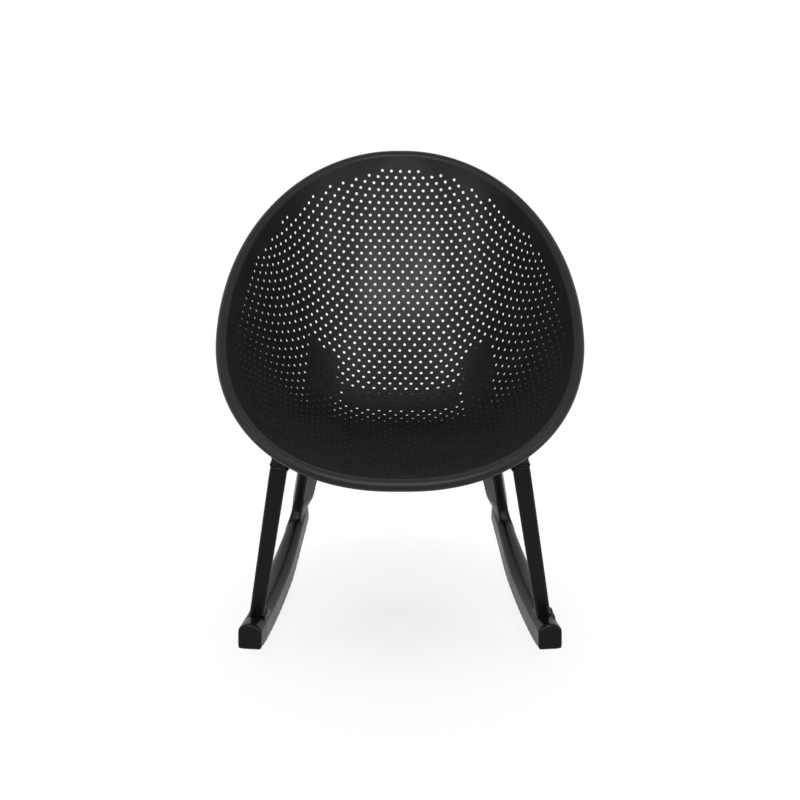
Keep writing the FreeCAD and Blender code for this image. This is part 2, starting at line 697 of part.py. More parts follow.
class Bowl:
    """Bucket shell as a depth below the rim plane, over an egg-shaped outline in that plane."""

    RINGS = 18
    SPOKES = 72
    LIP_STEPS = 9

    def __init__(self):
        number = {alias: float(getattr(sheet, alias)) for alias in DRIVING_SIZES}
        self.number = number
        self.lip = number["lip_radius"]
        # The wall would meet the rim plane this far inside the lip's outermost line
        self.inset = 1.55 * self.lip
        self.middle = number["rim_front_reach"]
        self.ahead = self.middle - self.inset
        self.behind = number["rim_length"] - self.middle - self.inset
        self.half_width = number["rim_width"] / 2 - self.inset
        tilt = math.radians(number["rim_tilt"])
        self.along = Vector(0, math.cos(tilt), math.sin(tilt))
        self.down = Vector(0, math.sin(tilt), -math.cos(tilt))
        self.across = Vector(1, 0, 0)
        self.start = Vector(0, number["rim_front_y"], number["rim_front_height"])

    def width_at(self, u):
        """Half width of the bowl's outline at a distance from the rim's front."""
        if u < self.middle:
            share, power = (self.middle - u) / self.ahead, self.number["rim_front_roundness"]
        else:
            share, power = (u - self.middle) / self.behind, self.number["rim_back_roundness"]
        return self.half_width * max(1 - min(share, 1) ** power, 1e-9) ** (1 / power)

    def depth(self, u, w):
        """Depth below the rim plane at a distance from the front and from the middle line."""
        front = self.middle - self.ahead
        share = (u - front) / (self.ahead + self.behind)
        number = self.number
        lift = number["seat_lift"] * math.exp(
            -(((share - number["seat_lift_place"]) / number["seat_lift_spread"]) ** 2)
        )
        profile = number["bowl_depth"] * 4 * share * (1 - share) - lift
        return profile * (1 - min(abs(w) / self.width_at(u), 1) ** number["bowl_wall_roundness"])

    def slope(self, u, w):
        step = 0.05
        along = (self.depth(u + step, w) - self.depth(u - step, w)) / (2 * step)
        across = (self.depth(u, w + step) - self.depth(u, w - step)) / (2 * step)
        return along, across

    def point(self, u, w, depth):
        return self.start + self.along * u + self.across * w + self.down * depth

    def skin(self, u, w, offset):
        """Point of the seat side, moved through the wall by an offset."""
        along, across = self.slope(u, w)
        normal = (self.down - self.along * along - self.across * across).normalize()
        return self.point(u, w, self.depth(u, w)) + normal * offset

    def spoke(self, angle, offset, with_lip=True):
        """Points from the drain hole out to the wall's top and round the lip."""
        hub = self.middle - self.ahead + 0.45 * (self.ahead + self.behind)
        cos_a, sin_a = math.cos(angle), math.sin(angle)

        def at(reach):
            return hub - reach * cos_a, reach * sin_a

        def inside(reach):
            u, w = at(reach)
            if not self.middle - self.ahead < u < self.middle + self.behind:
                return False
            return abs(w) < self.width_at(u)

        low, high = 0.0, self.ahead + self.behind
        for _ in range(50):
            reach = (low + high) / 2
            low, high = (reach, high) if inside(reach) else (low, reach)
        rim_reach = low

        def above_lip_start(reach):
            u, w = at(reach)
            along, across = self.slope(u, w)
            steepness = math.atan(math.hypot(along, across))
            return self.depth(u, w) > self.lip * (1 - math.cos(steepness))

        low, high = 0.6 * rim_reach, rim_reach - 0.2
        for _ in range(50):
            reach = (low + high) / 2
            low, high = (reach, high) if above_lip_start(reach) else (low, reach)
        wall_reach = low

        first = self.number["drain_radius"]
        points = []
        for ring in range(self.RINGS):
            share = ring / (self.RINGS - 1)
            reach = first + (wall_reach - first) * (1 - (1 - share) ** 1.25)
            points.append(self.skin(*at(reach), offset))
        if not with_lip:
            u, w = at(rim_reach)
            points.append(self.point(u, w, 0) + self.down * offset)
            return points
        u, w = at(wall_reach)
        along, across = self.slope(u, w)
        steepness = math.atan(math.hypot(along, across))
        outward = (self.along * -along - self.across * across).normalize()
        centre = self.skin(u, w, self.lip)
        radius = self.lip - offset
        last = steepness + math.radians(self.number["lip_turn"])
        for step in range(1, self.LIP_STEPS + 1):
            turned = last * step / self.LIP_STEPS - steepness
            points.append(centre + outward * (radius * math.sin(turned)) - self.down * (radius * math.cos(turned)))
        return points

    def face(self, offset, with_lip=True):
        """Smooth closed band through the spokes, round in the one direction, open in the other."""
        spokes = []
        for number in range(self.SPOKES):
            spokes.append(self.spoke(2 * math.pi * number / self.SPOKES, offset, with_lip))
        rings = len(spokes[0])
        surface = Part.BSplineSurface()
        surface.buildFromPolesMultsKnots(
            spokes,
            [1] * (self.SPOKES + 1),
            [4] + [1] * (rings - 4) + [4],
            list(range(self.SPOKES + 1)),
            list(range(rings - 2)),
            True,
            False,
            3,
            3,
        )
        return surface.toShape()

    def closed(self, faces):
        """Solid from two bands, joined along their inner and outer edges."""
        edges = [sorted(ring_edges(face), key=lambda edge: edge.Length) for face in faces]
        bands = [Part.makeRuledSurface(edges[0][number], edges[1][number]) for number in range(2)]
        return solid_of(faces + bands)


def ring_edges(face):
    """The two closed edges of a band, without its seam."""
    return [edge for edge in face.Edges if edge.isClosed()]


def solid_of(faces):
    shell = Part.makeShell(faces)
    shell.sewShape()
    solid = Part.makeSolid(shell)
    if solid.Volume < 0:
        solid.reverse()
    return solid


def side_placement(side_sign):
    turned = FreeCAD.Rotation(Vector(0, 0, 1), side_sign * float(sheet.toe_angle))
    return FreeCAD.Placement(Vector(side_sign * float(sheet.track_half), float(sheet.contact_y), 0), turned)


def shell_boss(end, side_sign, bowl_void):
    """Block on the shell's underside that a leg bolts to, with the seats for its threaded inserts."""
    x_low, x_high, y_low, y_high = (size.value for size in flange_box(end, S["boss_inset"]))
    low = BOSS_HEIGHTS[end].value
    hand = -side_sign
    corners = [to_chair(side_sign, Size(x), Size(y_low))[1].value for x in (x_low, x_high)]
    front_y = min(corners)
    rim_height = float(sheet.rim_front_height) + (front_y - float(sheet.rim_front_y)) * math.tan(
        math.radians(float(sheet.rim_tilt))
    )
    block = Part.makeBox(
        x_high - x_low,
        y_high - y_low,
        rim_height - float(sheet.boss_rim_gap) - low,
        Vector(x_low if hand > 0 else -x_high, y_low, low),
    )
    upright = [edge for edge in block.Edges if abs(edge.tangentAt(edge.FirstParameter).z) > 0.9]
    block = block.makeFillet(float(sheet.lip_radius) / 2, upright)
    block.Placement = side_placement(side_sign).multiply(block.Placement)
    return block.cut(bowl_void)


def insert_centres():
    """Chair coordinates of the eight threaded inserts, each with its boss height."""
    for end in ("front", "rear"):
        for side_sign in SIDES.values():
            for x, y in bolt_places(end):
                chair_x, chair_y = to_chair(side_sign, x, y)
                yield chair_x, chair_y, BOSS_HEIGHTS[end]


def make_seat_shell():
    bowl = Bowl()
    wall = float(sheet.shell_wall)
    shape = bowl.closed([bowl.face(0), bowl.face(wall)])
    middle_skin = bowl.face(wall / 2, with_lip=False)
    rings = sorted(ring_edges(middle_skin), key=lambda edge: edge.Length)
    lids = [Part.makeFilledFace([rings[0]]), Part.makeFilledFace([rings[1]])]
    bowl_void = solid_of([middle_skin] + lids)
    for end in ("front", "rear"):
        for side_sign in SIDES.values():
            shape = shape.fuse(shell_boss(end, side_sign, bowl_void))
    for x, y, height in insert_centres():
        seat = Part.makeCylinder(
            float(sheet.insert_radius), float(sheet.insert_length), Vector(x.value, y.value, height.value)
        )
        rebate = Part.makeCylinder(
            float(sheet.insert_flange_radius),
            float(sheet.insert_flange_thickness),
            Vector(x.value, y.value, height.value),
        )
        shape = shape.cut(seat.fuse(rebate))
    feature = doc.addObject("Part::Feature", "seat_shell")
    feature.Label = "seat_shell"
    feature.Shape = shape.Solids[0] if len(shape.Solids) == 1 else shape
    feature.Placement = FreeCAD.Placement()
    return feature


# Fasteners, each group in one node


def cylinder(name, radius, height, x, y, z):
    """Upright cylinder tied to the sheet."""
    feature = doc.addObject("Part::Cylinder", name)
    bind(feature, "Radius", radius)
    bind(feature, "Height", height)
    bind(feature, "Placement.Base.x", x)
    bind(feature, "Placement.Base.y", y)
    bind(feature, "Placement.Base.z", z)
    return feature


def joined(kind, name, first, second):
    feature = doc.addObject(kind, name)
    feature.Base = first
    feature.Tool = second
    return feature


def group(name, members):
    feature = doc.addObject("Part::Compound", name)
    feature.Label = name
    feature.Links = members
    return feature


def make_screw(name, x, y, seat, shank_radius, shank_length, head_radius, head_height, key_depth):
    """Socket head screw whose head hangs under its seat and whose shank points up."""
    head = cylinder(f"{name}_head", head_radius, head_height, x, y, seat - head_height)
    shank = cylinder(f"{name}_shank", shank_radius, shank_length, x, y, seat)
    key = doc.addObject("Part::Prism", f"{name}_key")
    key.Polygon = 6
    bind(key, "Circumradius", S["bolt_socket_across"] / math.sqrt(3))
    bind(key, "Height", key_depth)
    bind(key, "Placement.Base.x", x)
    bind(key, "Placement.Base.y", y)
    bind(key, "Placement.Base.z", seat - head_height)
    return joined("Part::Cut", name, joined("Part::Fuse", f"{name}_blank", head, shank), key)


def make_washer(name, x, y, bottom, radius, bore_radius, thickness):
    disc = cylinder(f"{name}_disc", radius, thickness, x, y, bottom)
    bore = cylinder(f"{name}_bore", bore_radius, thickness, x, y, bottom)
    return joined("Part::Cut", name, disc, bore)


def make_insert(name, x, y, mouth):
    """Threaded insert with a thin collar at its mouth, set in a shell boss from below."""
    barrel = cylinder(f"{name}_barrel", S["insert_radius"], S["insert_length"], x, y, mouth)
    collar = cylinder(f"{name}_collar", S["insert_flange_radius"], S["insert_flange_thickness"], x, y, mouth)
    thread = cylinder(f"{name}_thread", S["bolt_shank_radius"], S["insert_length"], x, y, mouth)
    return joined("Part::Cut", name, joined("Part::Fuse", f"{name}_blank", barrel, collar), thread)


def make_leg_top_fasteners(end):
    """Bolts, washers and inserts of the two leg tops at one end of the chair."""
    boss_height = BOSS_HEIGHTS[end]
    clamped = S["flange_thickness"] + S["rail_tab_thickness"]
    washer_bottom = boss_height - clamped - S["washer_thickness"]
    bolts, washers, inserts = [], [], []
    for side, side_sign in SIDES.items():
        for number, place in enumerate(bolt_places(end)):
            x, y = to_chair(side_sign, *place)
            name = f"{end}_{side}_{number}"
            bolts.append(
                make_screw(
                    f"bolt_{name}",
                    x,
                    y,
                    washer_bottom,
                    S["bolt_shank_radius"],
                    clamped + S["washer_thickness"] + S["bolt_engagement"],
                    S["bolt_head_radius"],
                    S["bolt_head_height"],
                    S["bolt_socket_depth"],
                )
            )
            bore_radius = S["bolt_shank_radius"] + S["bolt_hole_clearance"]
            washers.append(
                make_washer(
                    f"washer_{name}", x, y, washer_bottom, S["washer_radius"], bore_radius, S["washer_thickness"]
                )
            )
            inserts.append(make_insert(f"insert_{name}", x, y, boss_height))
    return [
        group(f"{end}_leg_bolts", bolts),
        group(f"{end}_leg_bolt_washers", washers),
        group(f"{end}_shell_inserts", inserts),
    ]


def make_plug_fasteners():
    """Screws and washers that draw the front legs' plugs down into the rockers."""
    socket_floor = S["collar_height"] - S["plug_length"] - S["plug_clearance"]
    seat = socket_floor - S["plug_screw_floor"]
    washer_bottom = seat - S["plug_washer_thickness"]
    screws, washers = [], []
    for side, side_sign in SIDES.items():
        x, y = to_chair(side_sign, S["front_leg_inset"], S["front_leg_y"])
        screws.append(
            make_screw(
                f"plug_screw_{side}",
                x,
                y,
                washer_bottom,
                S["plug_screw_radius"],
                S["plug_washer_thickness"] + S["plug_screw_floor"] + S["plug_clearance"] + S["plug_screw_reach"],
                S["plug_screw_head_radius"],
                S["plug_screw_head_height"],
                S["plug_screw_socket_depth"],
            )
        )
        bore_radius = S["plug_screw_radius"] + S["bolt_hole_clearance"]
        washers.append(
            make_washer(
                f"plug_washer_{side}",
                x,
                y,
                washer_bottom,
                S["plug_washer_radius"],
                bore_radius,
                S["plug_washer_thickness"],
            )
        )
    return [group("front_leg_plug_screws", screws), group("front_leg_plug_washers", washers)]


def main():
    sub_parts = [make_seat_shell()]
    for side, side_sign in SIDES.items():
        sub_parts.append(make_rocker(side, side_sign))
        sub_parts.append(make_front_leg(side, side_sign))
        sub_parts.append(make_sole(side, side_sign))
    sub_parts.append(make_rail("front"))
    sub_parts.append(make_rail("rear"))
    for end in ("front", "rear"):
        sub_parts.extend(make_leg_top_fasteners(end))
    sub_parts.extend(make_plug_fasteners())
    doc.recompute()

    for thing in doc.Objects:
        if "Invalid" in thing.State or "Error" in thing.State:
            raise RuntimeError(f"{thing.Name} failed: {thing.State}")
    for sub_part in sub_parts:
        if sub_part.Shape.isNull() or not sub_part.Shape.isValid():
            raise RuntimeError(f"{sub_part.Label} has no valid shape")
    for sub_part in sub_parts:
        sub_part.Shape.exportStep(f"parts/{sub_part.Label}.step")
        box = sub_part.Shape.BoundBox
        print(
            f"{sub_part.Label}: {len(sub_part.Shape.Solids)} solids, {sub_part.Shape.Volume / 1000:.1f} cm3, "
            f"x {box.XMin:.1f}..{box.XMax:.1f} y {box.YMin:.1f}..{box.YMax:.1f} z {box.ZMin:.1f}..{box.ZMax:.1f}"
        )


main()
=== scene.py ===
"""Looks of the moulded plastic rocking chair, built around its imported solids."""

import logging
import math
from collections.abc import Callable
from dataclasses import dataclass, field
from enum import Enum

import bpy
import numpy as np
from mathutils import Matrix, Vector
from mathutils.geometry import delaunay_2d_cdt


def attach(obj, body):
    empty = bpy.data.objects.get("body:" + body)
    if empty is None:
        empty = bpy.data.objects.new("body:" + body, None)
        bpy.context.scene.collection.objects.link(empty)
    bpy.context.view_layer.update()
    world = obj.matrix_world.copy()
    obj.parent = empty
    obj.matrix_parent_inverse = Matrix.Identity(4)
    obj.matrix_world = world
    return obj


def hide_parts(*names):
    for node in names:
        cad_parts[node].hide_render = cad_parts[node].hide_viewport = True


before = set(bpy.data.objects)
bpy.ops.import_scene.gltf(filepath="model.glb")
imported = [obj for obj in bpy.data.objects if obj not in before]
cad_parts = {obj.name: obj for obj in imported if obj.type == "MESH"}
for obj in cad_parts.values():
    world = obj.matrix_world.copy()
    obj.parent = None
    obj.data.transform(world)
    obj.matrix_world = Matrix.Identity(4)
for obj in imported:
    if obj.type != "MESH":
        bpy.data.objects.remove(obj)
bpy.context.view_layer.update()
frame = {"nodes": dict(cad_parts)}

MM = 0.001
log = logging.getLogger("rocking_chair")


class Slot(Enum):
    """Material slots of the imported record."""

    SHELL = "shell_plastic"
    FRAME = "frame_plastic"
    SOLE = "sole_rubber"
    STEEL = "bolt_steel"
    BRASS = "insert_brass"


class Side(Enum):
    """The sitter's two sides: the sign of X."""

    LEFT = -1
    RIGHT = 1


def new_material(name: str) -> tuple[bpy.types.Material, bpy.types.NodeTree, bpy.types.Node]:
    """Start a node material.

    Args:
        name: Name of the material.

    Returns:
        The material, its node tree and its emptied tree's new output node.
    """
    material = bpy.data.materials.new(name)
    material.use_nodes = True
    tree = material.node_tree
    tree.nodes.clear()
    return material, tree, tree.nodes.new("ShaderNodeOutputMaterial")


@dataclass(frozen=True)
class Finish:
    """A moulded, rubber or metal surface with a fine grain and uneven gloss.

    The grain and the cloud of gloss are noises on Object coordinates, in cycles per metre.
    """

    name: str
    color: tuple[float, float, float]
    roughness: float
    gloss_spread: float = 0.08
    color_spread: float = 0.12
    cloud_scale: float = 14.0
    cloud_detail: float = 5.0
    # Stretches of the cloud over which the gloss and the colour change
    gloss_range: tuple[float, float] = (0.3, 0.7)
    color_range: tuple[float, float] = (0.35, 0.65)
    grain_scale: float = 900.0
    grain_detail: float = 3.0
    grain_depth: float = 0.12
    grain_height: float = 0.0004
    specular: float = 0.5
    metallic: float = 0.0
    stretch: tuple[float, float, float] = (1.0, 1.0, 1.0)

    def make(self) -> bpy.types.Material:
        """Build the node material of this finish.

        Returns:
            The material.
        """
        material, tree, output = new_material(self.name)
        nodes, links = tree.nodes, tree.links
        shader = nodes.new("ShaderNodeBsdfPrincipled")
        shader.inputs["Metallic"].default_value = self.metallic
        shader.inputs["Specular IOR Level"].default_value = self.specular
        place = nodes.new("ShaderNodeTexCoord")
        mapping = nodes.new("ShaderNodeMapping")
        mapping.inputs["Scale"].default_value = self.stretch
        links.new(place.outputs["Object"], mapping.inputs["Vector"])

        cloud = nodes.new("ShaderNodeTexNoise")
        cloud.inputs["Scale"].default_value = self.cloud_scale
        cloud.inputs["Detail"].default_value = self.cloud_detail
        links.new(mapping.outputs["Vector"], cloud.inputs["Vector"])
        gloss = nodes.new("ShaderNodeMapRange")
        gloss.inputs["From Min"].default_value = self.gloss_range[0]
        gloss.inputs["From Max"].default_value = self.gloss_range[1]
        gloss.inputs["To Min"].default_value = self.roughness - self.gloss_spread / 2
        gloss.inputs["To Max"].default_value = self.roughness + self.gloss_spread / 2
        links.new(cloud.outputs["Fac"], gloss.inputs["Value"])
        links.new(gloss.outputs["Result"], shader.inputs["Roughness"])

        tint = nodes.new("ShaderNodeValToRGB")
        tint.color_ramp.elements[0].position = self.color_range[0]
        tint.color_ramp.elements[1].position = self.color_range[1]
        low = [channel * (1 - self.color_spread) for channel in self.color]
        high = [channel * (1 + self.color_spread) for channel in self.color]
        tint.color_ramp.elements[0].color = (*low, 1)
        tint.color_ramp.elements[1].color = (*high, 1)
        links.new(cloud.outputs["Fac"], tint.inputs["Fac"])
        links.new(tint.outputs["Color"], shader.inputs["Base Color"])

        grain = nodes.new("ShaderNodeTexNoise")
        grain.inputs["Scale"].default_value = self.grain_scale
        grain.inputs["Detail"].default_value = self.grain_detail
        links.new(mapping.outputs["Vector"], grain.inputs["Vector"])
        bump = nodes.new("ShaderNodeBump")
        bump.inputs["Strength"].default_value = self.grain_depth
        bump.inputs["Distance"].default_value = self.grain_height
        links.new(grain.outputs["Fac"], bump.inputs["Height"])
        links.new(bump.outputs["Normal"], shader.inputs["Normal"])
        links.new(shader.outputs["BSDF"], output.inputs["Surface"])
        return material


FINISHES = {
    Slot.SHELL: Finish("satin_shell", (0.0052, 0.0056, 0.0068), 0.41, specular=0.2, grain_scale=1400),
    Slot.FRAME: Finish("satin_frame", (0.0036, 0.0037, 0.0039), 0.34, specular=0.11, grain_scale=1100),
    Slot.SOLE: Finish(
        "sole_rubber", (0.008, 0.008, 0.008), 0.75, specular=0.15, grain_scale=1600, grain_depth=0.3
    ),
    Slot.STEEL: Finish(
        "zinc_steel", (0.55, 0.56, 0.57), 0.32,
        metallic=1.0, grain_scale=500, grain_depth=0.06, stretch=(1, 1, 6),
    ),
    Slot.BRASS: Finish(
        "turned_brass", (0.72, 0.55, 0.27), 0.28, metallic=1.0, grain_scale=700, stretch=(1, 1, 5)
    ),
}


def mesh_piece(
    name: str, vertices: np.ndarray, faces: list[list[int]], material: bpy.types.Material
) -> bpy.types.Object:
    """Link a new piece from points in millimetres.

    Args:
        name: Name of the piece.
        vertices: Points in millimetres, one row each.
        faces: Corner indices of each face.
        material: Its finish.

    Returns:
        The new object, at the origin.
    """
    mesh = bpy.data.meshes.new(name)
    mesh.from_pydata((vertices * MM).tolist(), [], faces)
    mesh.materials.append(material)
    piece = bpy.data.objects.new(name, mesh)
    bpy.context.scene.collection.objects.link(piece)
    return piece


def own(piece: bpy.types.Object, slot: Slot, *nodes: str) -> None:
    """Ride a finished piece on the chair and let it stand for CAD nodes.

    Args:
        piece: The new piece.
        slot: The record's material slot it is finished in. Not used.
        nodes: CAD nodes it is shown instead of.
    """
    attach(piece, "root")
    if nodes:
        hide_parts(*nodes)


@dataclass
class Bowl:
    """Form of the shell: a depth below the rim plane over an egg-shaped outline. Millimetres and radians."""

    rim_length: float = 843.0
    rim_width: float = 669.0
    rim_front_reach: float = 364.0
    rim_tilt: float = math.radians(30.3)
    front_roundness: float = 2.25
    back_roundness: float = 2.05
    rim_front_height: float = 406.0
    rim_front_y: float = -369.2
    bowl_depth: float = 278.5
    seat_lift: float = 22.0
    seat_lift_place: float = 0.26
    seat_lift_spread: float = 0.12
    wall_roundness: float = 2.8
    wall: float = 3.4
    lip_radius: float = 11.0
    lip_turn: float = math.radians(150)
    # How far inside the rim the wall would meet the rim plane, in lip radii
    lip_share: float = 1.55
    # The form is drawn a little towards its middle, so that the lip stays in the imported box
    fit: float = 0.996
    fit_height: float = 600.0
    # Place of the hub between the front and the back of the outline, and how often a search is halved
    hub_share: float = 0.45
    halvings: int = 40
    # The lip starts between this share of the outline's reach and this far inside it
    lip_search_share: float = 0.6
    lip_search_margin: float = 0.2

    def __post_init__(self) -> None:
        """Work out the outline where the wall would meet the rim plane."""
        inset = self.lip_share * self.lip_radius
        self.ahead = self.rim_front_reach - inset
        self.behind = self.rim_length - self.rim_front_reach - inset
        self.half_width = self.rim_width / 2 - inset
        self.front = self.rim_front_reach - self.ahead
        self.length = self.ahead + self.behind
        self.hub = self.front + self.hub_share * self.length
        sine, cosine = math.sin(self.rim_tilt), math.cos(self.rim_tilt)
        self.along = np.array([0.0, cosine, sine])
        self.down = np.array([0.0, sine, -cosine])
        self.across = np.array([1.0, 0.0, 0.0])
        self.start = np.array([0.0, self.rim_front_y, self.rim_front_height])

    def width_at(self, u: np.ndarray) -> np.ndarray:
        """Half width of the outline.

        Args:
            u: Distances from the rim's front along the rim plane.

        Returns:
            One half width for each distance.
        """
        before = u < self.rim_front_reach
        from_widest = np.abs(u - self.rim_front_reach)
        share = np.where(before, from_widest / self.ahead, from_widest / self.behind)
        power = np.where(before, self.front_roundness, self.back_roundness)
        return self.half_width * np.maximum(1 - np.clip(share, 0, 1) ** power, 1e-9) ** (1 / power)

    def depth(self, u: np.ndarray, w: np.ndarray) -> np.ndarray:
        """Depth below the rim plane.

        Args:
            u: Places along the rim plane.
            w: Places across it.

        Returns:
            One depth for each place.
        """
        share = (u - self.front) / self.length
        lift = self.seat_lift * np.exp(-(((share - self.seat_lift_place) / self.seat_lift_spread) ** 2))
        profile = self.bowl_depth * 4 * share * (1 - share) - lift
        return profile * (1 - np.minimum(np.abs(w) / self.width_at(u), 1) ** self.wall_roundness)

    def slope(self, u: np.ndarray, w: np.ndarray) -> tuple[np.ndarray, np.ndarray]:
        """How fast the depth grows.

        Args:
            u: Places along the rim plane.
            w: Places across it.

        Returns:
            The growth along and across the rim plane.
        """
        step = 0.05
        along = (self.depth(u + step, w) - self.depth(u - step, w)) / (2 * step)
        across = (self.depth(u, w + step) - self.depth(u, w - step)) / (2 * step)
        return along, across

    def point(self, u: np.ndarray, w: np.ndarray, depth: np.ndarray) -> np.ndarray:
        """Turn the rim plane's own terms into chair coordinates.

        Args:
            u: Places along the rim plane.
            w: Places across it.
            depth: Depths below it.

        Returns:
            One row of three numbers for each place.
        """
        u, w, depth = (np.asarray(value, float)[..., None] for value in (u, w, depth))
        place = self.start + u * self.along + w * self.across + depth * self.down
        middle = np.array([0.0, 0.0, self.fit_height])
        return middle + (place - middle) * self.fit

    def normal(self, u: np.ndarray, w: np.ndarray) -> np.ndarray:
        """Unit normals out of the back of the shell.

        Args:
            u: Places along the rim plane.
            w: Places across it.

        Returns:
            One row of three numbers for each place.
        """
        along, across = self.slope(u, w)
        raw = self.down - along[..., None] * self.along - across[..., None] * self.across
        return raw / np.linalg.norm(raw, axis=-1, keepdims=True)

    def skin(self, u: np.ndarray, w: np.ndarray, through: float = 0.0) -> np.ndarray:
        """Points of the seat side, moved through the wall by a distance."""
        return self.point(u, w, self.depth(u, w)) + self.normal(u, w) * through

    def at(self, angle: np.ndarray, reach: np.ndarray) -> tuple[np.ndarray, np.ndarray]:
        """Place in the rim plane at an angle and a reach from the hub; angle 0 points to the front."""
        return self.hub - reach * np.cos(angle), reach * np.sin(angle)

    def wall_end(self, angle: np.ndarray) -> np.ndarray:
        """Reach from the hub at which the wall gives way to the lip.

        Args:
            angle: Directions from the hub.

        Returns:
            One reach for each direction.
        """
        low, high = np.zeros_like(angle), np.full_like(angle, self.length)
        for _ in range(self.halvings):
            reach = (low + high) / 2
            u, w = self.at(angle, reach)
            inside = (u > self.front) & (u < self.front + self.length) & (np.abs(w) < self.width_at(u))
            low, high = np.where(inside, reach, low), np.where(inside, high, reach)
        low, high = self.lip_search_share * low, low - self.lip_search_margin
        for _ in range(self.halvings):
            reach = (low + high) / 2
            u, w = self.at(angle, reach)
            steepness = np.arctan(np.hypot(*self.slope(u, w)))
            deep = self.depth(u, w) > self.lip_radius * (1 - np.cos(steepness))
            low, high = np.where(deep, reach, low), np.where(deep, high, reach)
        return low

    def ring(self, u: float, w: float, radius: float, sides: int) -> np.ndarray:
        """Rim-plane places of a circle that lies on the skin.

        Args:
            u: Place of its centre along the rim plane.
            w: Place of its centre across the rim plane.
            radius: Radius on the skin.
            sides: How many points.

        Returns:
            One row of two numbers for each point, clockwise as the sitter sees it.
        """
        along, across = (float(value) for value in self.slope(np.float64(u), np.float64(w)))
        first = self.along + along * self.down
        second = self.across + across * self.down
        flat = second / np.linalg.norm(second)
        upright = first - flat * (first @ flat)
        rise = np.linalg.norm(upright)
        angle = np.arange(sides) * (2 * math.pi / sides)
        part_u = radius * np.sin(angle) / rise
        part_w = (radius * np.cos(angle) - part_u * (first @ flat)) / np.linalg.norm(second)
        return np.stack([u + part_u, w + part_w], axis=1)


@dataclass
class HolePattern:
    """Staggered rows of round holes, in the places that the bowl's curvature gives them. Millimetres."""

    hole_radius: float = 2.85
    hole_sides: int = 11
    edge_round: float = 0.6
    back_flare: float = 1.1
    row_pitch: float = 12.97
    top_gap: float = 35.8
    rows: int = 69
    columns: int = 17
    side_margin: float = 33.0
    front_margin: float = 68.0
    least_spacing: float = 11.5
    # How many of the holes before it a hole's spacing is held to
    neighbours: int = 80
    margin_slack: float = 7.0
    plain_margin: float = 18.0
    # The front margin counts by this power of how far forward a hole lies
    front_power: int = 4
    # Share of the outline's width within which a place is looked at
    width_share: float = 0.995
    # Row at which a row's share of the height is 0, the rows from there to share 1, and the highest share
    middle_row: int = 32
    share_rows: int = 32
    share_limit: float = 0.9
    # Column at which the outermost terms count in full
    full_column: float = 14.0
    profile_points: int = 4000
    rim_points: int = 721
    # Coefficients by rising power of a row's share of the height, in millimetres. They are the
    # least-squares fit of a separate program to the places of the holes in the photograph.
    column_pitch: tuple[float, ...] = (21.47, 3.88, -1.77, -2.88)
    column_squeeze: tuple[float, ...] = (-1.62, -0.61, -0.48)
    middle_lean: tuple[float, ...] = (10.84, 9.98)
    row_bow: tuple[float, ...] = (-26.6, 113.07, 82.3, -38.43)
    row_curl: tuple[float, ...] = (12.55, -3.15, -59.07)
    row_slant: float = -5.35

    def centres(self, bowl: Bowl) -> tuple[np.ndarray, np.ndarray]:
        """Places of the holes, and of the lattice points in the plain border.

        Args:
            bowl: The shell's form.

        Returns:
            Rim-plane places of the holes, and of the points left plain.
        """
        back = bowl.front + bowl.length
        line = np.linspace(bowl.front + 1, back, self.profile_points)
        profile = bowl.point(line, 0 * line, bowl.depth(line, 0 * line))
        run = np.concatenate([[0], np.cumsum(np.linalg.norm(np.diff(profile, axis=0), axis=1))])
        from_top = run[-1] - run
        angles = np.linspace(0, 2 * math.pi, self.rim_points)
        rim_u, rim_w = bowl.at(angles, bowl.wall_end(angles))
        rim = bowl.skin(rim_u, rim_w)
        holes, plain, kept = [], [], []
        for row in range(self.rows):
            share = min((row - self.middle_row) / self.share_rows, self.share_limit)
            level = float(np.interp(self.top_gap + row * self.row_pitch, from_top[::-1], line[::-1]))
            for step in range(-2 * self.columns, 2 * self.columns + 1):
                if (step + row) % 2:
                    continue
                column = step / 2
                far = (column / self.full_column) ** 2
                w = (
                    np.polyval(self.middle_lean[::-1], share)
                    + column * np.polyval(self.column_pitch[::-1], share)
                    + column * far * np.polyval(self.column_squeeze[::-1], share)
                )
                u = (
                    level
                    + self.row_slant * column / self.full_column
                    + far * np.polyval(self.row_bow[::-1], share)
                    + far * far * np.polyval(self.row_curl[::-1], share)
                )
                half_width = float(bowl.width_at(np.float64(u)))
                if not bowl.front < u < back or abs(w) > self.width_share * half_width:
                    continue
                place = bowl.skin(np.float64(u), np.float64(w))
                gap = float(np.min(np.linalg.norm(rim - place, axis=1)))
                forward = math.atan2(abs(w), bowl.hub - u)
                towards_front = max(math.cos(forward), 0) ** self.front_power
                margin = self.side_margin + self.front_margin * towards_front
                if gap > margin - self.margin_slack:
                    near = kept[-self.neighbours:]
                    if all(np.linalg.norm(place - other) > self.least_spacing for other in near):
                        holes.append((u, w))
                        kept.append(place)
                elif gap > self.plain_margin:
                    plain.append((u, w))
        return np.array(holes), np.array(plain)


